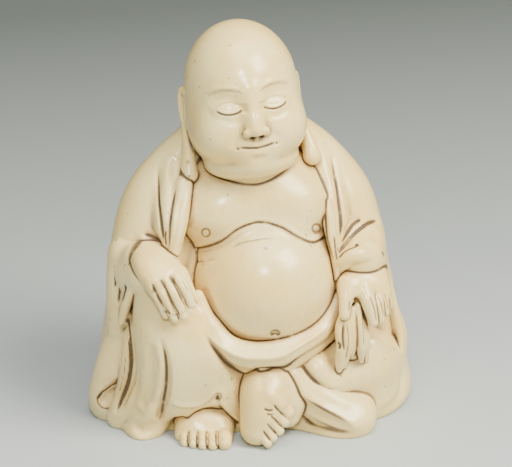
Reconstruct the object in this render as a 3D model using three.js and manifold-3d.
// A seated budai figure, carved from one piece of ivory: a plump man in an open robe,
// his right knee raised, his left leg folded, a hand on each knee. Millimetres, +Z up,
// the figure looks towards -Y and stands on z = 0, the origin under the middle of its base.
import * as THREE from 'three';
import Module from 'manifold-3d';

// Driving dimensions
const height = 90.6;          // floor to crown
const headWidth = 24.6;       // across the cheeks
const headHeight = 33;        // crown to the roll under the chin
const bellyWidth = 31.8;
const bellyDepth = 32.4;
const footWidth = 13;
const fingerThickness = 2.4;
const foldDepth = 0.9;        // of a crisp fold in the cloth
const foldWidth = 0.6;
const softening = 1;          // share of the full blending between neighbouring forms

// How finely the surface is worked, and how many facets it keeps
const grain = 0.95;
const facets = 9200;
const evenness = 2e-5;        // how much short edges are drawn together before long ones
const smallestFacet = 1e-4;   // twice its area
const leastAgreement = 0.3;   // between a facet's directions before and after an edge goes

// The forms below are set out on a figure of this height, and grow with the real one
const setOutHeight = 90.6;
const scale = height / setOutHeight;

const far = 1000;             // outside every form
const reach = 4;              // how far from its box a form is still measured

const ivory = new THREE.MeshStandardMaterial({ color: 0xe6dcc4, roughness: 0.35, metalness: 0 });
ivory.name = 'ivory';

function softMin(a, b, k) {
  if (k <= 0) return Math.min(a, b);
  const h = Math.max(1 - Math.abs(a - b) / k, 0);
  return Math.min(a, b) - h * h * k * 0.25;
}

function softMax(a, b, k) {
  return -softMin(-a, -b, k);
}

// A smooth line through rows of x, y, z and one more value, sampled in steps
function smoothRows(rows, steps) {
  const curve = (points) => new THREE.CatmullRomCurve3(points, false, 'catmullrom', 0.5);
  const count = steps * (rows.length - 1);
  const places = curve(rows.map(([x, y, z]) => new THREE.Vector3(x, y, z))).getPoints(count);
  const values = curve(rows.map((row) => new THREE.Vector3(row[3] ?? 0, 0, 0))).getPoints(count);
  return places.map((p, i) => [p.x, p.y, p.z, values[i].x]);
}

// A form has a box, from low to high, and the signed distance of a place to its skin
class Form {
  constructor() {
    this.low = [Infinity, Infinity, Infinity];
    this.high = [-Infinity, -Infinity, -Infinity];
  }

  include(place, radius = 0) {
    for (let i = 0; i < 3; i++) {
      this.low[i] = Math.min(this.low[i], place[i] - radius);
      this.high[i] = Math.max(this.high[i], place[i] + radius);
    }
  }

  near(x, y, z, margin) {
    const { low, high } = this;
    return x > low[0] - margin && x < high[0] + margin && y > low[1] - margin && y < high[1] + margin
      && z > low[2] - margin && z < high[2] + margin;
  }
}

// Turned about X, then Y, then Z, in degrees
function turning(turn) {
  const [a, b, c] = turn.map(THREE.MathUtils.degToRad);
  return new THREE.Matrix4().makeRotationFromEuler(new THREE.Euler(a, b, c, 'ZYX'));
}

class Ellipsoid extends Form {
  constructor(centre, radii, turn = [0, 0, 0]) {
    super();
    this.centre = centre;
    this.radii = radii;
    this.m = new THREE.Matrix3().setFromMatrix4(turning(turn)).elements;
    for (let i = 0; i < 3; i++) {
      const half = Math.hypot(this.m[i] * radii[0], this.m[i + 3] * radii[1], this.m[i + 6] * radii[2]);
      this.low[i] = centre[i] - half;
      this.high[i] = centre[i] + half;
    }
  }

  distance(x, y, z) {
    const { m, centre, radii } = this;
    const dx = x - centre[0];
    const dy = y - centre[1];
    const dz = z - centre[2];
    const u = (m[0] * dx + m[1] * dy + m[2] * dz) / radii[0];
    const v = (m[3] * dx + m[4] * dy + m[5] * dz) / radii[1];
    const w = (m[6] * dx + m[7] * dy + m[8] * dz) / radii[2];
    const k0 = Math.hypot(u, v, w);
    const k1 = Math.hypot(u / radii[0], v / radii[1], w / radii[2]) + 1e-9;
    return (k0 * (k0 - 1)) / k1;
  }
}

// A round, tapering length along a smooth line, flattened along an axis if asked
class Limb extends Form {
  constructor(rows, { steps = 8, flat = null } = {}) {
    super();
    this.rows = smoothRows(rows, steps);
    for (const row of this.rows) this.include(row, row[3]);
    this.origin = this.rows[0].slice(0, 3);
    this.ratio = flat ? flat.ratio : 1;
    this.axis = flat ? new THREE.Vector3(...flat.axis).normalize().toArray() : [0, 0, 1];
    this.rows = this.rows.map((row) => [...this.stretched(row[0], row[1], row[2]), row[3]]);
  }

  stretched(x, y, z) {
    const { origin, axis, ratio } = this;
    if (ratio === 1) return [x, y, z];
    const along = ((x - origin[0]) * axis[0] + (y - origin[1]) * axis[1]
      + (z - origin[2]) * axis[2]) * (ratio - 1);
    return [x + along * axis[0], y + along * axis[1], z + along * axis[2]];
  }

  distance(x, y, z) {
    const [px, py, pz] = this.stretched(x, y, z);
    let best = far;
    for (let i = 1; i < this.rows.length; i++) {
      const { gap, value } = alongPart(px, py, pz, this.rows[i - 1], this.rows[i]);
      best = Math.min(best, gap - value);
    }
    return best / (0.5 + 0.5 * this.ratio);
  }
}

// How far a place is from the straight part between two rows, and the fourth value there
function alongPart(x, y, z, a, b) {
  const dx = b[0] - a[0];
  const dy = b[1] - a[1];
  const dz = b[2] - a[2];
  const square = Math.max(dx * dx + dy * dy + dz * dz, 1e-12);
  const share = ((x - a[0]) * dx + (y - a[1]) * dy + (z - a[2]) * dz) / square;
  const t = Math.min(Math.max(share, 0), 1);
  return {
    gap: Math.hypot(x - a[0] - t * dx, y - a[1] - t * dy, z - a[2] - t * dz),
    value: a[3] + t * (b[3] - a[3]),
  };
}

// A groove (depth over 0) or a ridge (depth under 0) along a line near the surface
class Stroke extends Form {
  constructor(path, width, depth, taper) {
    super();
    this.width = width;
    this.depth = depth;
    const last = path.length - 1;
    this.rows = path.map(([x, y, z], i) => {
      const start = taper > 0 ? Math.min(1, i / last / taper + 0.05) : 1;
      const end = taper > 0 ? Math.min(1, (last - i) / last / taper + 0.05) : 1;
      return [x, y, z, Math.min(start, end)];
    });
    for (const row of this.rows) this.include(row, width * 2.6);
  }

  depthAt(x, y, z) {
    let best = far;
    let weight = 0;
    for (let i = 1; i < this.rows.length; i++) {
      const { gap, value } = alongPart(x, y, z, this.rows[i - 1], this.rows[i]);
      if (gap < best) {
        best = gap;
        weight = value;
      }
    }
    return this.depth * weight * Math.exp(-((best / this.width) ** 2));
  }
}

// Folds are drawn as they are seen from in front, a little from one side and from above:
// across and up on a plane through the figure's middle, then dropped on to the surface
class Drawing {
  constructor(azimuth, elevation, distance, middle) {
    const a = THREE.MathUtils.degToRad(azimuth);
    const e = THREE.MathUtils.degToRad(elevation);
    this.back = new THREE.Vector3(Math.sin(a) * Math.cos(e), -Math.cos(a) * Math.cos(e), Math.sin(e));
    this.right = new THREE.Vector3(Math.cos(a), Math.sin(a), 0);
    this.up = new THREE.Vector3().crossVectors(this.back, this.right);
    this.middle = new THREE.Vector3(...middle);
    this.eye = this.middle.clone().addScaledVector(this.back, distance);
  }

  drop(marks, form) {
    const depths = [];
    const rays = smoothRows(marks.map(([across, up]) => [across, up, 0]), 4).map(([across, up]) => {
      const through = this.middle.clone().addScaledVector(this.right, across).addScaledVector(this.up, up);
      const along = through.clone().sub(this.eye).normalize();
      depths.push(this.depthOn(form, through, along));
      return { through, along };
    });
    const even = depths.map((depth, i) => median(depths.slice(Math.max(0, i - 2), i + 3)));
    return rays.map(({ through, along }, i) => through.addScaledVector(along, even[i]).toArray());
  }

  depthOn(form, through, along) {
    const span = 45;            // before and behind the plane
    const step = 0.5;
    let before = far;
    for (let t = -span; t < span; t += step) {
      const d = form.distance(through.x + along.x * t, through.y + along.y * t, through.z + along.z * t);
      if (d < 0) return t - step + (step * before) / (before - d);
      before = d;
    }
    return 0;
  }
}

function median(values) {
  return values.toSorted((a, b) => a - b)[Math.floor(values.length / 2)];
}

const front = new Drawing(-10, 22, 620, [1.1, 0, 41.2]);
const behind = new Drawing(180, 12, 620, [1.1, 0, 41.2]);
const facing = new Drawing(0, 0, 620, [0, 0, 0]);       // the face, about the head's middle

// Forms added to, cut from and engraved on each other, in order
class Carving extends Form {
  constructor() {
    super();
    this.steps = [];
  }

  add(form, blend = 0) {
    this.include(form.low);
    this.include(form.high);
    this.steps.push({ form, blend: blend * softening, kind: 'add' });
    return this;
  }

  cut(form, blend = 0) {
    this.steps.push({ form, blend: blend * softening, kind: 'cut' });
    return this;
  }

  draw(marks, width, depth, taper = 0.2, drawing = front) {
    const form = new Stroke(drawing.drop(marks, this), width, depth, taper);
    this.steps.push({ form, blend: 0, kind: 'stroke' });
    return this;
  }

  // A crisp groove in a wide shallow one
  fold(marks, deep = 1, wide = 1) {
    this.draw(marks, 1.4 * wide, 0.5 * foldDepth * deep);
    return this.draw(marks, foldWidth * wide, foldDepth * deep);
  }

  distance(x, y, z) {
    let d = far;
    for (const { form, blend, kind } of this.steps) {
      if (kind === 'stroke') {
        if (form.near(x, y, z, 0)) d += form.depthAt(x, y, z);
      } else if (form.near(x, y, z, reach + blend)) {
        const f = form.distance(x, y, z);
        d = kind === 'add' ? softMin(d, f, blend) : softMax(d, -f, blend);
      }
    }
    return d;
  }
}

// A carving turned and moved as one, such as the head
class Placed extends Form {
  constructor(inner, centre, turn) {
    super();
    this.inner = inner;
    this.centre = centre;
    this.matrix = turning(turn);
    this.m = new THREE.Matrix3().setFromMatrix4(this.matrix).elements;
    for (let i = 0; i < 8; i++) {
      const corner = [0, 1, 2].map((axis) => (((i >> axis) & 1) ? inner.high : inner.low)[axis]);
      const turned = new THREE.Vector3(...corner).applyMatrix4(this.matrix);
      this.include([turned.x + centre[0], turned.y + centre[1], turned.z + centre[2]]);
    }
  }

  distance(x, y, z) {
    const { m, centre } = this;
    const dx = x - centre[0];
    const dy = y - centre[1];
    const dz = z - centre[2];
    return this.inner.distance(
      m[0] * dx + m[1] * dy + m[2] * dz, m[3] * dx + m[4] * dy + m[5] * dz,
        m[6] * dx + m[7] * dy + m[8] * dz,
    );
  }
}

class Together extends Form {
  constructor(forms, blend) {
    super();
    this.forms = forms;
    this.blend = blend;
    for (const form of forms) {
      this.include(form.low);
      this.include(form.high);
    }
  }

  distance(x, y, z) {
    let d = far;
    for (const form of this.forms) {
      if (form.near(x, y, z, reach)) d = softMin(d, form.distance(x, y, z), this.blend);
    }
    return d;
  }
}

const sides = [-1, 1];

function mirrored(rows, side) {
  return rows.map(([x, ...rest]) => [x * side, ...rest]);
}

// The head, about its own middle: a plump face of plain proportions, the eyes closed,
// long lobes on the ears and a shaven crown
function head() {
  const w = headWidth / 2;
  const h = headHeight / 33;
  const c = new Carving();
  c.add(new Ellipsoid([0, 1.6, 3.9 * h], [w * 0.99, w * 1.12, 13.8 * h]));
  c.add(new Ellipsoid([0, -0.6, -5.8 * h], [w, w * 0.97, 9.6 * h]), 6);
  for (const s of sides) c.add(new Ellipsoid([6.3 * s, -6.6, -4.8], [4.9, 4.7, 4.6]), 4);
  c.add(new Ellipsoid([0, -9.4, -11.6], [3.9, 2.7, 2.2]), 3);
  nose(c);
  mouth(c, -7.4);
  for (const s of sides) {
    eye(c, s, 1.4);
    ear(c, s, w);
  }
  c.add(new Ellipsoid([0, -1.8, -12.4 * h], [w * 0.85, 9.4, 4]), 1.4);
  c.add(new Ellipsoid([0, 2, -15.5 * h], [w * 0.7, 8, 5]), 1.4);
  return new Placed(c, [-2.2, -3.2, 73.6], [-7, -5, 1]);
}

// A hollow under the brow, and the lids closed over the eye
function eye(c, side, z) {
  c.draw(mirrored([[2.6, z + 1], [4.6, z + 2.2], [7, z + 1.9],
    [8.6, z + 0.6]], side), 1.5, 0.75, 0.3, facing);
  c.add(new Ellipsoid([4.9 * side, -9.3, z - 0.3], [3.1, 2.5, 2], [0, 0, -20 * side]), 0.9);
  c.draw(mirrored([[2.2, z - 0.4], [5, z - 1.15], [7.9, z - 0.2]], side), 0.5, 0.5, 0.12, facing);
  c.draw(mirrored([[1.9, z + 3.7], [4.8, z + 4.8], [7.4, z + 4.5], [9.5, z + 3]], side), 0.7, -0.25, 0.35,
    facing);
}

function nose(c) {
  c.add(new Limb([[0, -11, 4.6, 1.2], [0, -12.2, 0.6, 1.15], [0, -13.5, -3, 1.5]]), 2.2);
  for (const s of sides) c.add(new Ellipsoid([1.8 * s, -12.5, -3.6], [1.15, 1.6, 1.05]), 0.7);
}

function mouth(c, z) {
  c.add(new Ellipsoid([0, -10.6, z - 0.2], [4.4, 2.2, 2.4]), 2.5);
  c.add(new Limb([[-3.8, -11.5, z + 0.1, 0.4], [0, -12.6, z + 0.5, 0.65],
    [3.8, -11.5, z + 0.1, 0.4]]), 0.7);
  c.add(new Limb([[-2.8, -11.5, z - 0.9, 0.4], [0, -12.3, z - 1.15, 0.85],
    [2.8, -11.5, z - 0.9, 0.4]]), 0.7);
  c.draw([[-4, z + 0.25], [0, z - 0.3], [4, z + 0.25]], 0.5, 0.6, 0.12, facing);
}

// A rim with a hollow inside it, and a lobe that hangs to the shoulder
function ear(c, side, w) {
  const rim = [[0.97, 2.6, 3.4, 0.8], [1.03, 4.6, 3.2, 0.85], [1.04, 5.6, -0.4, 0.9],
    [1.02, 4.4, -4.4, 1.1],
    [1.05, 2.2, -8.6, 1.3], [1.1, 0.4, -12.2, 1.7], [1.11, -0.2, -14.4, 2]];
  c.add(new Limb(mirrored(rim.map(([share, ...rest]) => [share * w, ...rest]), side)), 0.8);
  c.add(new Ellipsoid([0.96 * w * side, 3.2, -1.4], [1.1, 2, 4.2]), 0.8);
}

function body() {
  const c = new Carving();
  c.add(new Ellipsoid([0, 3, 49], [17.5, 15.5, 17]));
  for (const s of sides) c.add(new Ellipsoid([8.4 * s, -4.4, 50], [8.8, 8.4, 7.2]), 5);
  c.add(new Limb([[0, 3, 56, 10], [-1, 1, 66, 9.5]]), 3);
  c.add(new Ellipsoid([2, -6.6, 33.2], [bellyWidth / 2, bellyDepth / 2, 15.6]), 3.5);
  c.add(new Ellipsoid([2, -2, 20], [17, 12, 10]), 1);
  const crease = [[-16.9, -3.4], [-12, -3.2], [-7.8, -1.9], [-3.8, 1], [0.7, 2.4], [5.3, 1.4],
    [9.3, -0.8], [12.9, -2], [16, -0.3]];
  c.draw(crease, 1.5, 0.4, 0.05);
  c.draw(crease, 0.5, 0.5, 0.05);
  c.cut(new Ellipsoid([2.6, -23.4, 27.6], [1.4, 1, 0.7]), 0.4);
  return c;
}

// The robe over the back and both arms, and its two open fronts
function robe() {
  const c = new Carving();
  const across = { steps: 12, flat: { axis: [1, 0, 0], ratio: 1.9 } };
  c.add(new Limb([[0, 7, 3, 30.5], [0, 7.5, 20, 27.5], [0, 7.5, 36, 24], [0, 7, 50, 19.5],
    [-0.5, 6, 60, 12], [-1, 5.5, 66, 7.5]], { steps: 12, flat: { axis: [0, 1, 0], ratio: 1.45 } }));
  c.add(new Limb([[-9, 5, 62, 5], [-15.2, 3.8, 56.2, 7], [-20, 2, 48.4, 8.6], [-23, -1.5, 40.8, 8.4],
    [-25.2, -6, 37.4, 6.6], [-24.9, -11, 38.4, 5]], { steps: 12 }), 3);
  c.add(new Limb([[8, 5, 62, 5], [13.6, 3.6, 56.8, 7.2], [18.8, 1.5, 48.6, 8.4], [21.4, -1.5, 42.5, 7.6],
    [22.8, -6, 39.6, 6.3], [22.3, -10.5, 38.4, 5.6]], { steps: 12 }), 3);
  c.add(new Limb([[-21.5, 3, 42, 10], [-24.8, 3, 30, 12], [-26, 3.5, 18, 13],
    [-27.2, 5, 6, 13.5]], across), 5);
  c.add(new Limb([[20.5, 3, 42, 10], [24, 3, 30, 12], [26.6, 3.5, 18, 13], [27.6, 5, 6, 13.5]], across), 5);
  rightFront(c);
  leftFront(c);
  elbows(c);
  back(c);
  return c;
}

function rightFront(c) {
  c.add(new Limb([[-12.1, 6.5, 63.7, 2], [-15, 2, 60.8, 2], [-18.4, -3.6, 55.4, 2.8],
    [-19.8, -8.5, 49.2, 3], [-19.7, -11.5, 43.8, 2]]), 1.5);
  c.add(new Limb([[-14.7, -1.5, 60.2, 1.6], [-16.2, -6.6, 55.7, 2.2], [-17.9, -10.5, 49.9, 2.2],
    [-19.4, -13.2, 43.6, 1.5]]), 0.6);
  c.add(new Limb([[-14.3, -4.6, 58.6, 0.8], [-15.6, -8.2, 55.8, 0.95], [-17.1, -11.2, 52, 1],
    [-18.4, -13.2, 47.2, 0.95], [-19.6, -14.2, 43.1, 0.7]]), 0.25);
  c.fold([[-17.8, 11], [-18.8, 5.2], [-19.3, 0.8], [-19.5, -3.7]], 0.8, 0.7);
  c.draw([[-17.5, 17.5], [-18, 14.6], [-18.1, 11.2]], 1.1, 1.6, 0.3);
  c.fold([[-21.9, 15.2], [-21.7, 7.5], [-21, 1.5], [-20.7, -2.3]], 0.9);
}

function leftFront(c) {
  c.add(new Limb([[12, 5.5, 63, 2.2], [13.7, 0.5, 60.5, 2.6], [15.8, -4.2, 54.5, 3], [17.1, -8, 48.4, 3],
    [17.3, -11, 41.9, 2.2], [17, -12.5, 38.3, 1.4]]), 1.5);
  c.add(new Limb([[13.2, -3.6, 57.8, 0.9], [14.2, -6.4, 54.5, 1.3], [15.3, -9.4, 50, 1.5],
    [15.7, -11.8, 45.2, 1.4], [16.4, -13.6, 40.2, 1.1], [16.7, -14.4, 35.3, 0.8]]), 0.4);
  c.fold([[17, 17.5], [17.4, 13.8], [18.1, 10.1], [18.5, 6.7], [18.9, 3], [18.9, -0.7], [18.1, -4.8]]);
}

// The pleats where the sleeves turn
function elbows(c) {
  c.draw([[23.4, 3.2], [21.6, 2], [20.3, 0.1], [19, -3]], 1, 1.4, 0.15);
  c.fold([[18.7, -4.6], [19.4, -2.9], [21.6, -0.3], [23.8, 1.5], [25.7, 2.6], [27.4, 3]]);
  c.draw([[21.4, -2.1], [23.1, -0.6], [25.4, -0.1], [27.6, -1]], 1.5, 0.5);
  c.fold([[-20.9, -2.6], [-22, -1.3], [-23.5, -0.5], [-25.1, -0.1]], 0.8);
  c.draw([[-31.4, -4.6], [-29.6, -3.7], [-27.8, -3.1], [-25.1, -2.2]], 1.5, 1.5);
}

// Long, plain folds and the roll of the collar
function back(c) {
  const folds = [[-15, -6, 0.8], [-7.5, -3, 1.1], [0.5, 0.5, 0.8], [8.5, 4, 1.1], [16, 7, 0.8]];
  for (const [x, lean, depth] of folds) {
    c.draw([[-x * 0.4, 16], [-x * 0.8, 3], [-x - lean * 0.5, -14],
      [-x - lean, -34]], 2.2, depth, 0.3, behind);
  }
  c.add(new Limb([[-12.6, 0, 60.6, 1.3], [-10.8, 6.5, 63.4, 1.5], [-6, 11.4, 65.2, 1.6],
    [-0.8, 13, 65.8, 1.6], [4.6, 11.4, 65.2, 1.6], [9.4, 6.5, 63.4, 1.5], [11.6, 0, 60.6, 1.3]]), 1);
}

// The hanging right sleeve and the turned cuff of the left one
function sleeves() {
  const c = new Carving();
  c.add(new Limb([[-27.5, -4, 39.7, 5.2], [-28.3, -4, 32.6, 4.8], [-29.3, -4, 26.7, 3.8],
    [-30.2, -3, 20.5, 2.6], [-29.9, -2, 16.1, 1.6]]));
  c.add(new Limb([[-26.5, -9.5, 41.2, 3.2], [-28, -10.5, 36.5, 2], [-29.3, -10.5, 31.8, 1.4],
    [-30.6, -9.5, 26.2, 0.7]]), 1.4);
  c.add(new Limb([[-25.9, -8.5, 39.8, 4.4], [-24.7, -11, 39.3, 4.2]]), 1.5);
  c.fold([[-27.6, -5.5], [-28.3, -7.7], [-28.6, -10.3], [-29.5, -13.7], [-30.4, -17]], 0.7);
  c.add(new Limb([[23.6, -4.5, 38.4, 6], [23, -9.5, 37.6, 5.5]]), 0.8);
  c.add(new Limb([[17.1, -13, 37.1, 1.5], [18.2, -14.2, 39.4, 1.9], [20.3, -14.8, 40.7, 2],
    [22.6, -14.3, 40.3, 2], [25.3, -12.2, 38.3, 2], [27.7, -9, 34.7, 1.8], [29.2, -6.5, 30.6, 1.4]]), 0.5);
  c.draw([[18, -5.7], [19.6, -3.9], [22, -2.8], [24, -2.5], [25.8, -2.9], [27.4, -3.9], [28.5, -5.2]],
    0.6, 0.8, 0.08);
  c.add(new Limb([[26.3, -6, 35, 3.4], [28.3, -4.5, 28.4, 3], [29.9, -4, 22.7, 3], [31.9, -3.5, 16.4, 3.2],
    [32.1, -3.5, 11.4, 3]]), 2);
  c.add(new Limb([[28, -8.5, 34.4, 0.9], [30.1, -7, 28.8, 1], [31.6, -6.6, 22.7, 1], [32.8, -7, 17.3, 0.9],
    [32.9, -8, 13.3, 0.7]]), 0.8);
  return c;
}

// The skirt over the raised right knee
function skirt() {
  const c = new Carving();
  c.add(new Ellipsoid([0, 0, 8], [31, 17, 14]));
  c.add(new Ellipsoid([-22, 2, 12], [11, 15, 20]), 4);
  c.add(new Ellipsoid([0, -9, 10], [13, 8, 10]), 2);
  c.add(new Limb([[-22.3, -12, 34.3, 5.6], [-21, -13.2, 25.2, 7.6], [-18.9, -11.4, 15.1, 8.8],
    [-17.2, -8.4, 7.7, 8.8]], { steps: 12 }), 2);
  c.add(new Limb([[-15.2, -14.5, 28.2, 3.2], [-12.7, -15.2, 20.6, 5.2], [-9.1, -11.8, 11.5, 6.4],
    [-6.6, -8.6, 4.4, 6.6]], { steps: 12 }), 5);
  pleats(c);
  c.cut(new Ellipsoid([-12.4, -22.6, -0.2], [8, 10.4, 9.4]), 0.4);
  c.draw([[-8.9, -25.9], [-5.6, -29.5], [-3.6, -33.7], [-2.9, -39.3]], 2.2, 0.35);
  c.draw([[-10.5, -24.8], [-7.6, -29.5], [-5.6, -33.7], [-6.2, -36.2]], 1.6, -0.35, 0.3);
  c.fold([[-2.2, -31.3], [-2.1, -35.3], [-2.2, -43.3]]);
  waistband(c);
  return c;
}

// Two round folds at the knee's outer side, and their thin edge spread on the floor
function pleats(c) {
  c.add(new Limb([[-26.9, -8, 26.3, 3], [-26.6, -9.8, 19.3, 4], [-27.4, -9.6, 12.5, 4],
    [-28.8, -8.2, 6.6, 3.8], [-30.5, -6.2, 1.8, 3.4]]), 1.2);
  c.add(new Limb([[-24.2, -15.2, 25.1, 2], [-23.8, -15.8, 18.2, 3.1], [-24, -13.8, 11.2, 3.6],
    [-24.8, -11.6, 5.4, 4.2], [-25.5, -9.6, 0.5, 4.8]], { steps: 12 }), 1);
  c.cut(new Ellipsoid([-19.8, -16.6, 0.4], [2.8, 4.8, 6.4], [0, 8, 0]), 0.8);
  c.add(new Limb([[-29, -8.2, 3.6, 0.7], [-29.1, -9.3, 0.8, 0.8], [-28.5, -13.4, 0.5, 0.8],
    [-27.3, -14.9, 0.5, 0.8], [-25.3, -14.4, 0.7, 0.8], [-23.5, -13.5, 2, 0.8], [-22.2, -12.4, 3.8, 0.75],
    [-21.3, -12.5, 5.6, 0.7], [-19.7, -13.4, 7, 0.6]]), 2.4);
  c.draw([[-26.9, -10.3], [-28, -14.8], [-28.5, -19.2], [-27.8, -26.4], [-27.8, -29.5], [-28.5, -33.5],
    [-30.3, -37.9], [-31.4, -40.2]], 1.3, 1.9, 0.1);
  c.draw([[-23.6, -25.9], [-23.8, -30.4], [-24.3, -34.4], [-25.6, -37.7]], 1.6, 0.9, 0.25);
  c.draw([[-21.4, -23.3], [-20.2, -27.7], [-19.9, -32.6], [-20.5, -37], [-21.1, -40.2], [-21.6, -42.4]],
    1.2, 1.4);
}

function waistband(c) {
  c.add(new Limb([[-14.3, -14.4, 33.3, 1.4], [-12.4, -16.4, 27.9, 2], [-8.8, -18.6, 23, 2.6],
    [-3.3, -20, 20.8, 3], [2.9, -20, 21.1, 3], [8.1, -18.6, 22.7, 2.8], [13, -16.2, 25.1, 2.6],
    [16.9, -13.2, 29.5, 2.2]]), 0.8);
  c.add(new Limb([[-11.2, -14.4, 25.9, 2.6], [-7.5, -15.6, 20.4, 3.2], [-2.3, -16.6, 18, 3.6],
    [3.5, -16.6, 18.1, 3.6], [8.9, -15.4, 20, 3.4], [14.3, -13, 22.4, 3]]), 1.5);
  c.fold([[-11.6, -21.5], [-10, -24.6], [-6.9, -28.4], [-4.2, -30.6], [-2, -31.5], [-0.2, -30.5],
    [1.3, -29.9], [6.2, -29.9], [8.5, -28.4], [12, -26.1], [17.4, -23]], 0.8);
}

// The folded left leg, its knee under the robe, and the hem that spreads around it
function foldedLeg() {
  const c = new Carving();
  c.add(new Ellipsoid([20.5, 2, 12], [11.5, 15, 18]));
  c.add(new Limb([[9.8, -14.5, 15.4, 3.6], [12.4, -15, 13.9, 5], [15.4, -14, 11.8, 5.6]]), 2);
  c.add(new Limb([[19.6, -10, 13.3, 7.6], [22.7, -8.5, 11.9, 8.8], [25.9, -3, 9.9, 9],
    [26.8, 4, 8.5, 9]], { steps: 12 }), 3);
  c.add(new Limb([[20, -14, 2.4, 2.8], [26.6, -11.2, 2.6, 3.4], [31.2, -5.2, 2.8, 4], [32.4, 3, 3, 4],
    [30.2, 11, 2.4, 3.8], [24, 18, 1.8, 3.4], [12, 23.2, 1.4, 3], [0, 24.4, 1.3, 3]]), 6);
  c.draw([[17.4, -24.4], [17.4, -27.7], [17.4, -30.8], [18, -33.9]], 1.8, 1.2, 0.3);
  c.draw([[20.5, -25], [21.6, -28.1], [22.5, -31.7]], 2.4, 0.5, 0.3);
  c.fold([[7.6, -29], [9.3, -28.7], [10.7, -30.4], [12.2, -32.2], [15.1, -34.8], [18, -36.2],
    [21.4, -36.6], [24, -37.8], [25.1, -39.7], [25.1, -42.6]]);
  c.draw([[32.3, -29.5], [32.7, -32.6], [32, -36.2], [29.8, -38.8], [26.7, -40.2]], 1.4, 0.6);
  return c;
}

// A flap of the robe that lies in front, hollow under its ridge
function frontFlap() {
  const c = new Carving();
  c.add(new Limb([[5.9, -16, 14.9, 2.4], [8.6, -16.4, 11.2, 3.8], [12.1, -16.8, 7.5, 4.8],
    [16.2, -17, 5, 5.2], [20.2, -16.6, 3.5, 5.2]]));
  c.add(new Limb([[4.6, -17.4, 16.4, 1], [7.1, -19.2, 13, 1.2], [9.6, -20.6, 9.2, 1.2],
    [12.1, -21.6, 6.3, 1.2], [15.2, -22.4, 4.3, 1.2], [18.5, -22.4, 3.3, 1.4],
      [21.1, -19.8, 2.7, 2.4]]), 3);
  c.add(new Limb([[3, -11.8, 0.6, 1.5], [6, -13.8, 0.6, 1.5], [10.4, -16.8, 0.6, 1.5],
    [14.8, -20.2, 0.6, 1.6], [18.8, -21.3, 0.8, 1.7], [21.4, -19.2, 1.4, 2.4], [22.4, -16, 2, 3]]), 1.2);
  c.add(new Ellipsoid([13, -11, 2], [12, 6, 5]), 1);
  c.cut(new Limb([[5.3, -20.4, 9.7, 1.4], [7.8, -21.6, 7.1, 2.4], [11, -22.6, 5, 2.6],
    [14.6, -23.6, 3.6, 2.2], [17.5, -23.8, 2.7, 1.2]]), 0.8);
  return c;
}

// The hem at the figure's right side, curled at the floor and running round to the back
function rightHem() {
  const c = new Carving();
  c.add(new Limb([[-29.9, -2.4, 18.2, 3.8], [-31.1, -2.2, 12.4, 4.6], [-32.2, -1.6, 6.7, 4.6],
    [-32.4, -0.6, 2.8, 3.8]]));
  c.add(new Limb([[-29, -3.6, 2.4, 3], [-31.4, 1.6, 2.6, 3.8], [-31.6, 7.5, 2.6, 3.8],
    [-28.6, 13.5, 2.2, 3.6], [-22, 19.5, 1.8, 3.4], [-12, 23.2, 1.4, 3], [0, 24.4, 1.3, 3]]), 6);
  c.add(new Ellipsoid([-24, 4, 10], [10, 14, 14]), 2);
  c.cut(new Limb([[-30.7, -8.2, 10.6, 1.2], [-32.5, -7.4, 8.1, 2.1], [-34.3, -5.4, 5.5, 1.6]]), 0.8);
  return c;
}

// A finger or toe between two ends, its middle joint lifted off the straight line
function bent(root, tip, lift, radii) {
  const middle = root.map((value, i) => (value + tip[i]) / 2 + lift[i]);
  return new Limb([[...root, radii[0]], [...middle, radii[1]], [...tip, radii[2]]]);
}

function rightHand() {
  const t = fingerThickness / 2;
  const c = new Carving();
  c.add(new Limb([[-25, -10.5, 41.5, 3.8], [-24.4, -15.2, 41, 4], [-23.5, -18.2, 39.6, 3.5]],
    { flat: { axis: [0.2, -0.55, 0.8], ratio: 1.35 } }));
  c.add(new Limb([[-22.7, -11, 41.5, 3.4], [-21.1, -16.2, 40.7, 3.4], [-19.9, -18.4, 39.4, 2.6]],
    { flat: { axis: [0.2, -0.55, 0.8], ratio: 1.2 } }), 2.5);
  const fingers = [[[-25.4, -18.4, 38.2], [-22.3, -21, 32.3], 0.98],
    [[-23.9, -19.5, 39], [-20.6, -22.2, 31.9], 1.08], [[-22.1, -20, 39.8], [-18.8, -22.8, 32.6], 1.1],
    [[-19.9, -19.6, 40.4], [-17, -22.4, 35], 1.08]];
  for (const [root, tip, thick] of fingers) {
    c.add(bent(root, tip, [0, -0.7, 0.9], [t * thick, t * thick * 0.94, t * thick * 0.78]), 0.3);
  }
  c.add(new Limb([[-18.4, -17.6, 40.4, 1.25 * t], [-17, -19.2, 37.4, 0.96 * t],
    [-15.9, -20.2, 35, 0.79 * t]]), 0.6);
  return c;
}

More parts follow.
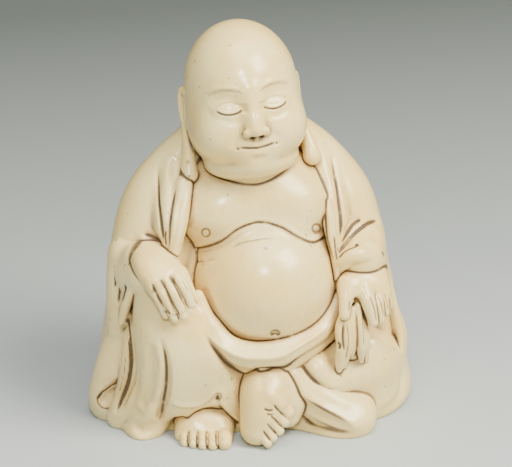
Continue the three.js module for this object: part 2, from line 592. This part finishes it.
// The left hand, closed on a gathered length of cloth
function leftHand() {
  const t = fingerThickness / 2;
  const c = new Carving();
  c.add(new Limb([[22.1, -10.5, 36.2, 4.2], [20.9, -14.2, 34.4, 3.8], [19.7, -16, 32.9, 3]],
    { flat: { axis: [0, -0.5, 0.86], ratio: 1.35 } }));
  c.add(new Limb([[24.2, -10.5, 35.5, 4.2], [24.7, -13.6, 33.7, 3.8], [25.6, -14.8, 31.7, 3.2]],
    { flat: { axis: [0.1, -0.5, 0.86], ratio: 1.35 } }), 2.5);
  c.add(new Limb([[18.7, -15.6, 34.2, 1.9 * t], [17.8, -18.2, 31.6, 1.25 * t], [17.3, -19.6, 28.6, t]]), 1);
  c.add(new Limb([[22, -16.4, 33.4, 1.67 * t], [22.8, -18.8, 30.7, 1.33 * t],
    [23.7, -19.8, 26.6, 0.96 * t]]), 0.7);
  const fingers = [[[24.7, -15.8, 32.2], [25.6, -18.8, 26.5], 0.95],
    [[26.3, -14.6, 31.6], [27.1, -17.4, 27.4], 0.82], [[27.8, -13, 30.8], [28.4, -15.6, 28.2], 0.74]];
  for (const [root, tip, thick] of fingers) {
    c.add(bent(root, tip, [0.1, -0.9, 0.7], [t * thick * 1.2, t * thick, t * thick * 0.78]), 0.35);
  }
  const pleats = [
    [[17.8, -17.6, 28.5, 1], [16.6, -18.8, 25.2, 1.25], [16.9, -19.2, 21.5, 1.35],
      [16.6, -18.8, 17.5, 1.15], [16.5, -17.8, 13.4, 0.45]],
    [[18.6, -18, 28.8, 1], [17.8, -19.2, 24.8, 1.25], [18.1, -19.2, 20.5, 1.2], [17.6, -18.2, 15.7, 0.6]],
    [[19.3, -18.2, 29.3, 0.8], [19.1, -19.3, 24.8, 1], [19.4, -18.9, 20.7, 0.9], [19.3, -18.2, 18, 0.5]],
    [[20.5, -18, 29.9, 0.9], [20.7, -19.2, 25.6, 1.15], [21.2, -19.2, 20.7, 1.15], [21.6, -18, 16.5, 0.5]],
    [[21.4, -17.4, 29.5, 0.7], [21.9, -18.6, 25.2, 0.95], [22.5, -18.6, 20.8, 0.95],
      [22.7, -17.4, 16.4, 0.45]],
  ];
  for (const pleat of pleats) c.add(new Limb(pleat), 0.35);
  c.add(new Limb([[19.7, -16.2, 27.7, 2.2], [19.6, -16.8, 22.7, 2.6], [19.9, -16.4, 18.6, 2.2]],
    { flat: { axis: [0, -1, 0], ratio: 1.5 } }), 0.5);
  return c;
}

// The right foot flat on the floor, its toes in a row, and the left one turned on its side
function feet() {
  const c = new Carving();
  const w = footWidth / 13;
  const middle = -12.5;
  const toes = [[-5.5, -17.6, 1.3, -2.2, 1.05], [-3.7, -18.6, 1.4, -2.4, 1.1],
    [-1.8, -19.3, 1.5, -2.7, 1.15],
    [0.3, -19.8, 1.5, -2.8, 1.2], [3, -20, 1.7, -2.6, 1.6]];
  for (const [x, y, z, length, r] of toes) {
    const root = [middle + x * w, y, z];
    const ankle = middle + 0.3 * (x + 1.1) * w;
    const instep = middle + 0.68 * (x + 1.1) * w;
    c.add(new Limb([[ankle, -8, 4, 4.6], [instep, -13.4, 3.2, 3.8],
      [root[0] + 0.1, y + 1.4, 1, 2.1]]), 1.6);
    const tip = [root[0] - 0.3, y + length, z - 0.5];
    c.add(bent(root, tip, [0, -0.1, 0.35], [(r + 0.1) * w, (r + 0.05) * w, r * w * 0.95]), 0.3);
  }
  c.add(new Limb([[0.3, -14.5, 13, 4.6], [0.4, -18, 11.7, 6], [-0.6, -20, 8.3, 5.4],
    [-2.4, -21.4, 3.7, 3.8]]));
  c.add(new Limb([[4.1, -15, 12.4, 4.2], [5.5, -17.2, 9.4, 4.4], [4.7, -18, 5.4, 3.4]]), 2);
  c.draw([[1.8, -33.9], [3.6, -36.2], [5.6, -37.9], [7.3, -39.3]], 1.3, -0.8, 0.3);
  const crossed = [[[1.6, -22.4, 10.9], [4.1, -22.9, 7.8], 1.75], [[0.8, -23, 8.4],
    [3.2, -23.6, 5.8], 1.35],
    [[-0.1, -23.3, 6.7], [2, -24.2, 4.1], 1.25], [[-0.9, -23.5, 5], [0.5, -24.7, 2.8], 1.15],
    [[-1.9, -23.6, 3.4], [-0.7, -25, 1.6], 1.1]];
  for (const [root, tip, r] of crossed) c.add(bent(root, tip, [0, 0, 0], [r, r * 0.97, r * 0.9]), 0.25);
  return c;
}

function figure() {
  return new Together([body(), robe(), sleeves(), skirt(), foldedLeg(), frontFlap(), rightHem(),
    rightHand(), leftHand(), feet(), head()], 0.25 * softening);
}

// The distances on an even grid, exact near the surface and rough elsewhere. The outermost
// layer is empty, so that the surface closes where the forms run on below the floor.
function sampled(form, low, high, step) {
  const coarse = 4;
  const wide = step * coarse;
  const cells = low.map((value, i) => Math.ceil((high[i] - value) / wide));
  const rough = new Float32Array((cells[0] + 1) * (cells[1] + 1) * (cells[2] + 1));
  const at = (i, j, k) => (i * (cells[1] + 1) + j) * (cells[2] + 1) + k;
  for (let i = 0; i <= cells[0]; i++) {
    for (let j = 0; j <= cells[1]; j++) {
      for (let k = 0; k <= cells[2]; k++) {
        const d = form.distance(low[0] + i * wide, low[1] + j * wide, low[2] + k * wide);
        rough[at(i, j, k)] = Math.min(Math.max(d, -3 * wide), 3 * wide);
      }
    }
  }
  const size = cells.map((count) => count * coarse + 1);
  const values = new Float32Array(size[0] * size[1] * size[2]);
  for (let i = 0, n = 0; i < size[0]; i++) {
    for (let j = 0; j < size[1]; j++) {
      for (let k = 0; k < size[2]; k++, n++) {
        const d = between(rough, at, cells, [i / coarse, j / coarse, k / coarse]);
        const close = Math.abs(d) < wide * 1.3;
        const edge = [i, j, k].some((value, axis) => value === 0 || value === size[axis] - 1);
        values[n] = close ? form.distance(low[0] + i * step, low[1] + j * step, low[2] + k * step) : d;
        if (edge) values[n] = step;
      }
    }
  }
  return { values, size, low, step };
}

function between(rough, at, cells, place) {
  const base = place.map((value, i) => Math.min(Math.floor(value), cells[i] - 1));
  const share = place.map((value, i) => value - base[i]);
  let sum = 0;
  for (let corner = 0; corner < 8; corner++) {
    const up = [corner & 1, (corner >> 1) & 1, (corner >> 2) & 1];
    let weight = 1;
    for (let i = 0; i < 3; i++) weight *= up[i] ? share[i] : 1 - share[i];
    sum += weight * rough[at(base[0] + up[0], base[1] + up[1], base[2] + up[2])];
  }
  return sum;
}

// The zero surface of the grid as a closed mesh: each cell is split into six tetrahedra
// around its long diagonal, and each tetrahedron gives one or two triangles
function skinned({ values, size, low, step }) {
  const stride = [size[1] * size[2], size[2], 1];
  const bits = (c) => [c & 1, (c >> 1) & 1, (c >> 2) & 1];
  const corner = Array.from({ length: 8 }, (_, c) => bits(c).reduce((sum, up,
    axis) => sum + up * stride[axis], 0));
  const tetrahedra = [[0, 1, 3, 7], [0, 1, 5, 7], [0, 2, 3, 7], [0, 2, 6, 7], [0, 4, 5, 7], [0, 4, 6, 7]];
  const positions = [];
  const triangles = [];
  const known = new Map();

  function place(n) {
    const i = Math.floor(n / stride[0]);
    const j = Math.floor((n - i * stride[0]) / stride[1]);
    return [i, j, n - i * stride[0] - j * stride[1]].map((value, axis) => low[axis] + value * step);
  }

  function crossing(a, b) {
    const key = a < b ? a * 8e6 + b : b * 8e6 + a;
    if (!known.has(key)) {
      const from = place(a);
      const to = place(b);
      const t = Math.min(Math.max(values[a] / (values[a] - values[b]), 0.06), 0.94);
      known.set(key, positions.length / 3);
      positions.push(...from.map((value, i) => value + t * (to[i] - value)));
    }
    return known.get(key);
  }

  function triangle(a, b, c, inner) {
    const [p, q, r] = [a, b, c].map((n) => new THREE.Vector3().fromArray(positions, n * 3));
    const normal = q.clone().sub(p).cross(r.clone().sub(p));
    const outward = p.clone().add(q).add(r).divideScalar(3).sub(new THREE.Vector3(...place(inner)));
    triangles.push(...(normal.dot(outward) > 0 ? [a, b, c] : [a, c, b]));
  }

  for (let i = 0; i < size[0] - 1; i++) {
    for (let j = 0; j < size[1] - 1; j++) {
      for (let k = 0; k < size[2] - 1; k++) {
        const n = i * stride[0] + j * stride[1] + k;
        let inside = 0;
        for (let c = 0; c < 8; c++) inside += values[n + corner[c]] < 0 ? 1 : 0;
        if (inside === 0 || inside === 8) continue;
        for (const tetrahedron of tetrahedra) {
          const solid = tetrahedron.map((c) => n + corner[c]).filter((at) => values[at] < 0);
          const empty = tetrahedron.map((c) => n + corner[c]).filter((at) => values[at] >= 0);
          if (solid.length === 1) {
            triangle(...empty.map((at) => crossing(solid[0], at)), solid[0]);
          } else if (solid.length === 3) {
            triangle(...solid.map((at) => crossing(at, empty[0])), solid[0]);
          } else if (solid.length === 2) {
            const [a, b] = solid;
            const [c, d] = empty;
            triangle(crossing(a, c), crossing(a, d), crossing(b, d), a);
            triangle(crossing(a, c), crossing(b, d), crossing(b, c), a);
          }
        }
      }
    }
  }
  return { positions, triangles };
}

// Only the outer skin is kept, without closed hollows or loose crumbs
function outerSkin({ positions, triangles }) {
  const parent = Int32Array.from({ length: positions.length / 3 }, (_, i) => i);
  const root = (n) => {
    while (parent[n] !== n) {
      parent[n] = parent[parent[n]];
      n = parent[n];
    }
    return n;
  };
  for (let t = 0; t < triangles.length; t += 3) {
    parent[root(triangles[t])] = root(triangles[t + 1]);
    parent[root(triangles[t + 1])] = root(triangles[t + 2]);
  }
  const counts = new Map();
  for (let n = 0; n < parent.length; n++) counts.set(root(n), (counts.get(root(n)) ?? 0) + 1);
  const largest = [...counts].reduce((best, entry) => (entry[1] > best[1] ? entry : best))[0];
  const kept = [];
  for (let t = 0; t < triangles.length; t += 3) {
    if (root(triangles[t]) === largest) kept.push(triangles[t], triangles[t + 1], triangles[t + 2]);
  }
  return { positions, triangles: kept };
}

// A binary heap of edges, the cheapest first
class Heap {
  constructor() {
    this.items = [];
  }

  push(item) {
    const { items } = this;
    let i = items.push(item) - 1;
    while (i > 0) {
      const up = (i - 1) >> 1;
      if (items[up].cost <= item.cost) break;
      items[i] = items[up];
      i = up;
    }
    items[i] = item;
  }

  pop() {
    const { items } = this;
    const top = items[0];
    const item = items.pop();
    if (items.length) {
      let i = 0;
      for (;;) {
        let down = 2 * i + 1;
        if (down >= items.length) break;
        if (down + 1 < items.length && items[down + 1].cost < items[down].cost) down += 1;
        if (items[down].cost >= item.cost) break;
        items[i] = items[down];
        i = down;
      }
      items[i] = item;
    }
    return top;
  }
}

// Fewer facets: edges are drawn together in the order of how little that moves the surface,
// by the squared distances to the planes around each vertex. The mesh stays closed, since an
// edge goes only where its ends share just two neighbours, and no facet may turn over.
class Simplifier {
  constructor({ positions, triangles }) {
    this.points = [];
    for (let i = 0; i < positions.length; i += 3) {
      this.points.push(new THREE.Vector3().fromArray(positions, i));
    }
    this.faces = [];
    this.around = this.points.map(() => new Set());
    this.quadrics = this.points.map(() => new Float64Array(10));
    this.version = new Int32Array(this.points.length);
    for (let t = 0; t < triangles.length; t += 3) {
      const face = [triangles[t], triangles[t + 1], triangles[t + 2]];
      const index = this.faces.push(face) - 1;
      for (const n of face) this.around[n].add(index);
      this.addPlane(face);
    }
    this.count = this.faces.length;
  }

  normal(face, moved = -1, place = null) {
    const [p, q, r] = face.map((n) => (n === moved ? place : this.points[n]));
    return q.clone().sub(p).cross(r.clone().sub(p));
  }

  addPlane(face) {
    const n = this.normal(face);
    const area = n.length() / 2;
    if (area < 1e-12) return;
    n.normalize();
    const d = -n.dot(this.points[face[0]]);
    const q = [n.x * n.x, n.x * n.y, n.x * n.z, n.x * d, n.y * n.y, n.y * n.z, n.y * d, n.z * n.z,
      n.z * d, d * d];
    for (const v of face) for (let i = 0; i < 10; i++) this.quadrics[v][i] += q[i] * area;
  }

  error(q, { x, y, z }) {
    return q[0] * x * x + q[4] * y * y + q[7] * z * z + q[9]
      + 2 * (q[1] * x * y + q[2] * x * z + q[5] * y * z + q[3] * x + q[6] * y + q[8] * z);
  }

  candidate(a, b) {
    const q = this.quadrics[a].map((value, i) => value + this.quadrics[b][i]);
    const places = [this.points[a].clone().lerp(this.points[b], 0.5), this.points[a].clone(),
      this.points[b].clone()];
    const m = new THREE.Matrix3().set(q[0], q[1], q[2], q[1], q[4], q[5], q[2], q[5], q[7]);
    if (Math.abs(m.determinant()) > 1e-6) {
      const solved = new THREE.Vector3(-q[3], -q[6], -q[8]).applyMatrix3(m.invert());
      if (solved.distanceTo(places[0]) < 2 * this.points[a].distanceTo(this.points[b])) places.push(solved);
    }
    const onFloor = Math.min(this.points[a].z, this.points[b].z) < 1e-6;
    if (onFloor) for (const place of places) place.z = 0;
    const length = this.points[a].distanceTo(this.points[b]);
    const costs = places.map((place) => this.error(q, place));
    const best = costs.indexOf(Math.min(...costs));
    const cost = costs[best] + evenness * length * length;
    return { a, b, place: places[best], cost, versions: [this.version[a], this.version[b]] };
  }

  neighbours(n) {
    const found = new Set();
    for (const f of this.around[n]) for (const v of this.faces[f]) if (v !== n) found.add(v);
    return found;
  }

  allowed({ a, b, place }) {
    const nearB = this.neighbours(b);
    let shared = 0;
    for (const n of this.neighbours(a)) if (nearB.has(n)) shared += 1;
    if (shared !== 2) return false;
    for (const [n, other] of [[a, b], [b, a]]) {
      for (const f of this.around[n]) {
        const face = this.faces[f];
        if (face.includes(other)) continue;
        const before = this.normal(face);
        const after = this.normal(face, n, place);
        const agreement = after.dot(before) / (after.length() * before.length());
        if (after.length() < smallestFacet || agreement < leastAgreement) return false;
      }
    }
    return true;
  }

  collapse({ a, b, place }) {
    this.points[a].copy(place);
    for (let i = 0; i < 10; i++) this.quadrics[a][i] += this.quadrics[b][i];
    for (const f of this.around[b]) {
      const face = this.faces[f];
      if (face.includes(a)) {
        for (const n of face) this.around[n].delete(f);
        this.faces[f] = null;
        this.count -= 1;
      } else {
        face[face.indexOf(b)] = a;
        this.around[a].add(f);
      }
    }
    this.around[b] = new Set();
    this.version[a] += 1;
    this.version[b] = -1;
  }

  run(target) {
    const heap = new Heap();
    for (const face of this.faces) {
      for (let i = 0; i < 3; i++) {
        const [a, b] = [face[i], face[(i + 1) % 3]];
        if (a < b) heap.push(this.candidate(a, b));
      }
    }
    while (this.count > target && heap.items.length) {
      const edge = heap.pop();
      if (this.version[edge.a] !== edge.versions[0] || this.version[edge.b] !== edge.versions[1]) continue;
      if (!this.allowed(edge)) continue;
      this.collapse(edge);
      for (const n of this.neighbours(edge.a)) heap.push(this.candidate(edge.a, n));
    }
    return this.mesh();
  }

  mesh() {
    const index = new Map();
    const positions = [];
    const triangles = this.faces.filter(Boolean).flatMap((face) => face.map((n) => {
      if (!index.has(n)) {
        index.set(n, index.size);
        positions.push(...this.points[n].toArray());
      }
      return index.get(n);
    }));
    return { positions, triangles };
  }
}

const wasm = await Module();
wasm.setup();

function toSolid({ positions, triangles }) {
  const vertProperties = Float32Array.from(positions);
  const triVerts = Uint32Array.from(triangles);
  return new wasm.Manifold(new wasm.Mesh({ numProp: 3, vertProperties, triVerts }));
}

function fromSolid(solid) {
  const mesh = solid.getMesh();
  return { positions: Array.from(mesh.vertProperties), triangles: Array.from(mesh.triVerts) };
}

// The underside is sawn flat at the floor
function sawn(mesh) {
  const block = new THREE.BoxGeometry(200, 200, 40).translate(0, 0, -20);
  const corners = block.attributes.position;
  const merged = new Map();
  const index = [];
  const positions = [];
  for (let i = 0; i < block.index.count; i++) {
    const corner = new THREE.Vector3().fromBufferAttribute(corners, block.index.getX(i)).toArray();
    const key = corner.join();
    if (!merged.has(key)) {
      merged.set(key, merged.size);
      positions.push(...corner);
    }
    index.push(merged.get(key));
  }
  return fromSolid(toSolid(mesh).subtract(toSolid({ positions, triangles: index })));
}

function figureGeometry() {
  const form = figure();
  const margin = 2;
  const underFloor = -1.6;
  const low = [form.low[0] - margin, form.low[1] - margin, underFloor];
  const high = form.high.map((value) => value + margin);
  const rough = outerSkin(skinned(sampled(form, low, high, grain)));
  const fine = sawn(rough);
  const { positions, triangles } = new Simplifier(fine).run(facets);
  const geometry = new THREE.BufferGeometry();
  geometry.setAttribute('position',
    new THREE.Float32BufferAttribute(positions.map((value) => value * scale), 3));
  geometry.setIndex(triangles);
  geometry.computeVertexNormals();
  return geometry;
}

const part = new THREE.Group();
const carving = new THREE.Mesh(figureGeometry(), ivory);
carving.name = 'budai_figure';
part.add(carving);

export default part;
